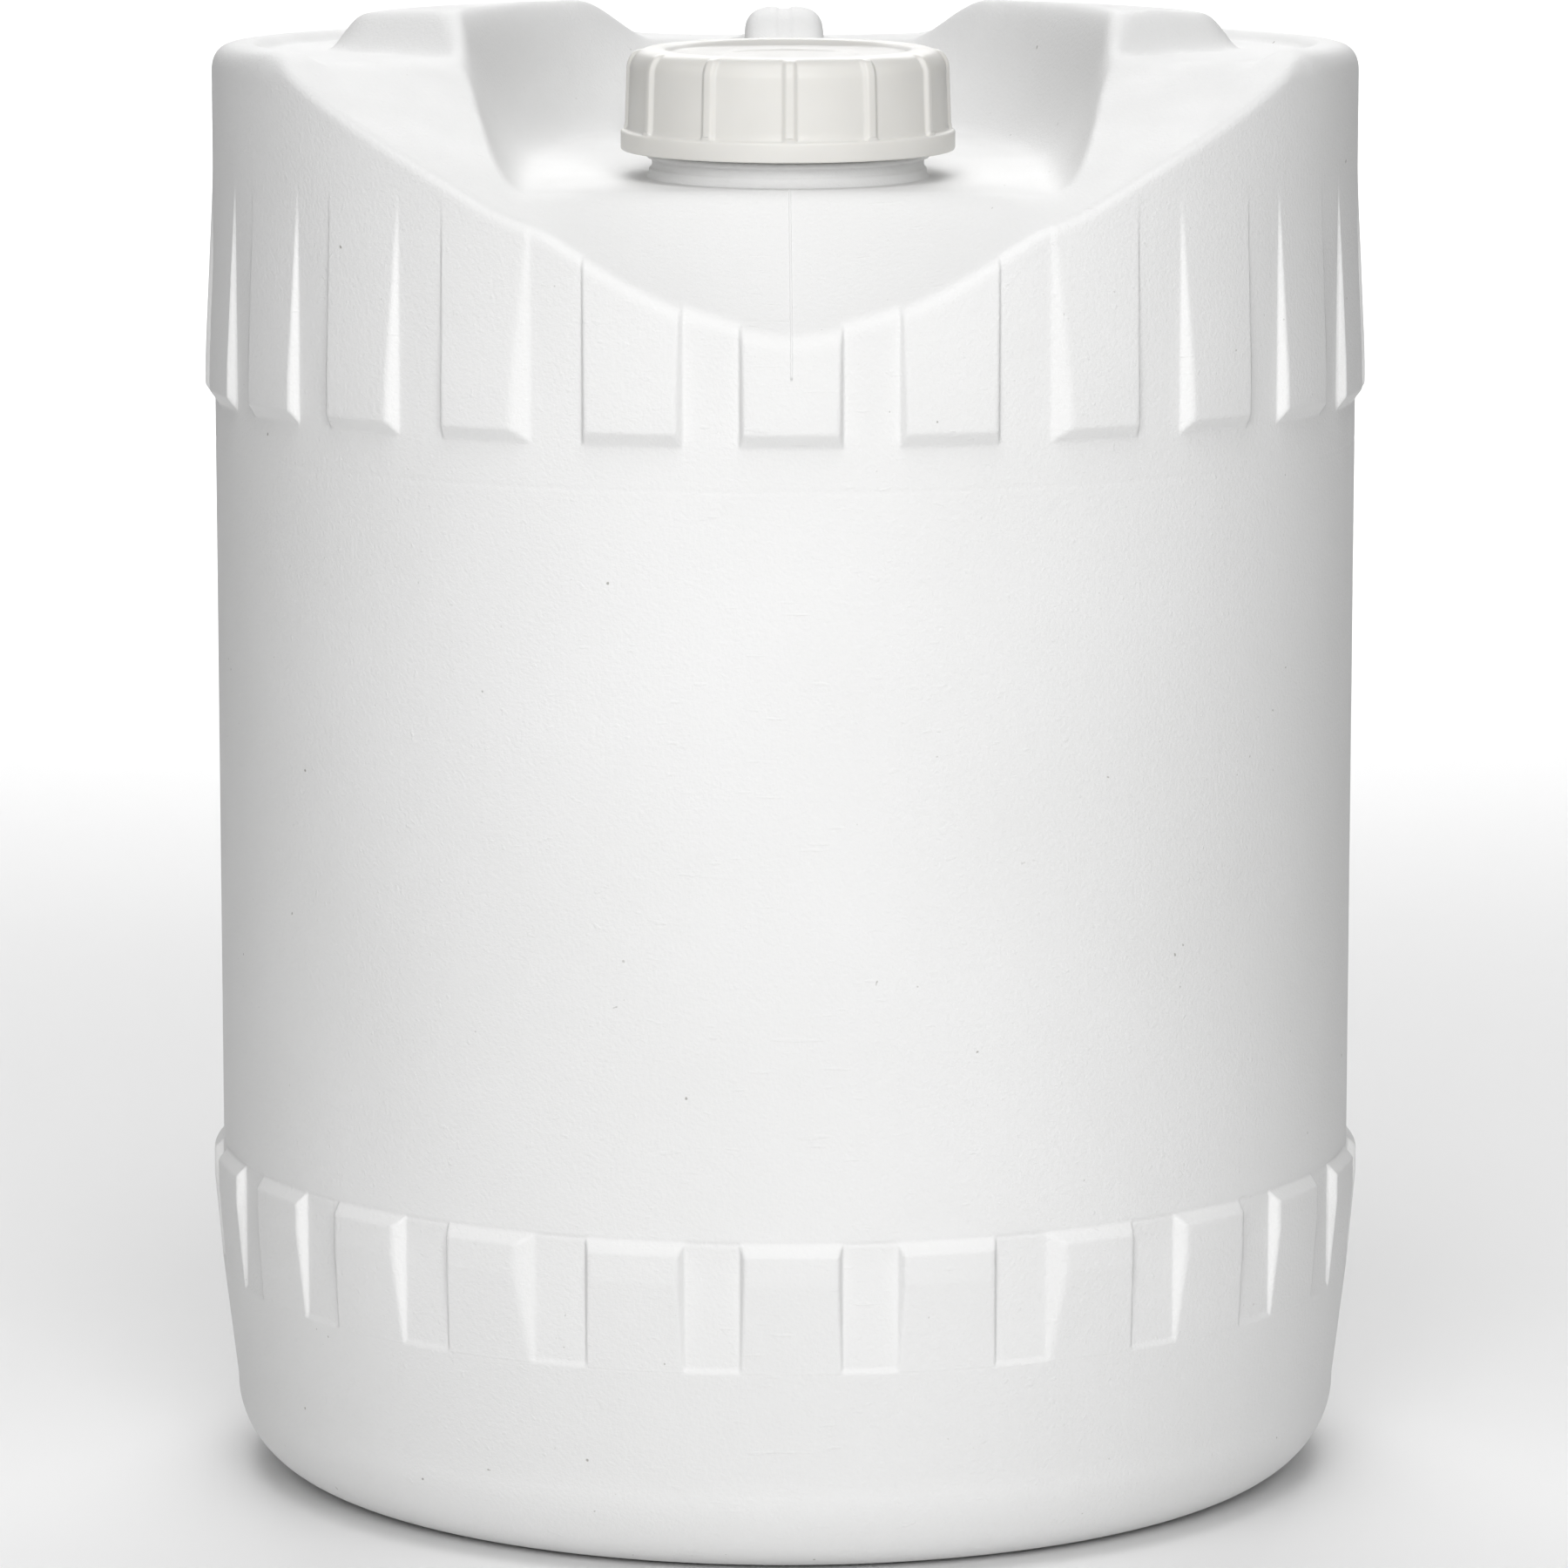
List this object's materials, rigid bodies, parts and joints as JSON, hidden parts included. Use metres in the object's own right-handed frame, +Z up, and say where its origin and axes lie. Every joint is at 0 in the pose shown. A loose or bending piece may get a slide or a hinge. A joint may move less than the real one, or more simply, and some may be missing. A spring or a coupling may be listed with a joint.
{
  "type": "plastic chemical drum",
  "caption": "Round blow-moulded plastic drum with a recessed neck, a ribbed screw cap, a top carrying handle and two bands of grip pads.",
  "frame": {"origin": "centre of the base, on the surface the drum stands on", "axes": "+Z up the drum's axis; the neck is towards -Y and the handle runs back from it towards +Y, in the plane X = 0"},
  "size_m": [0.2908, 0.2908, 0.3676],
  "materials": {
    "drum_plastic": "matte, finely grained white polyethylene",
    "cap_plastic": "satin natural polyethylene, slightly translucent",
    "gasket_foam": "matte foamed polyethylene"
  },
  "bodies": {
    "drum": {"drum_shell": "drum_plastic"},
    "cap_seal": {"cap_gasket": "gasket_foam"},
    "cap": {"screw_cap": "cap_plastic"}
  },
  "joints": [
    {"name": "cap_rise", "type": "slide", "parent": "drum", "child": "cap_seal", "axis": [0, -0.0314, 0.9995], "range_m": [0, 0.0075]},
    {"name": "cap_turn", "type": "hinge", "parent": "cap_seal", "child": "cap", "pos_m": [0, -0.066, 0.3298], "axis": [0, -0.0314, 0.9995], "range_deg": [0, 540]}
  ],
  "couplings": [
    {"joint": "cap_rise", "follows": "cap_turn", "m_per_rad": 0.00079577}
  ]
}
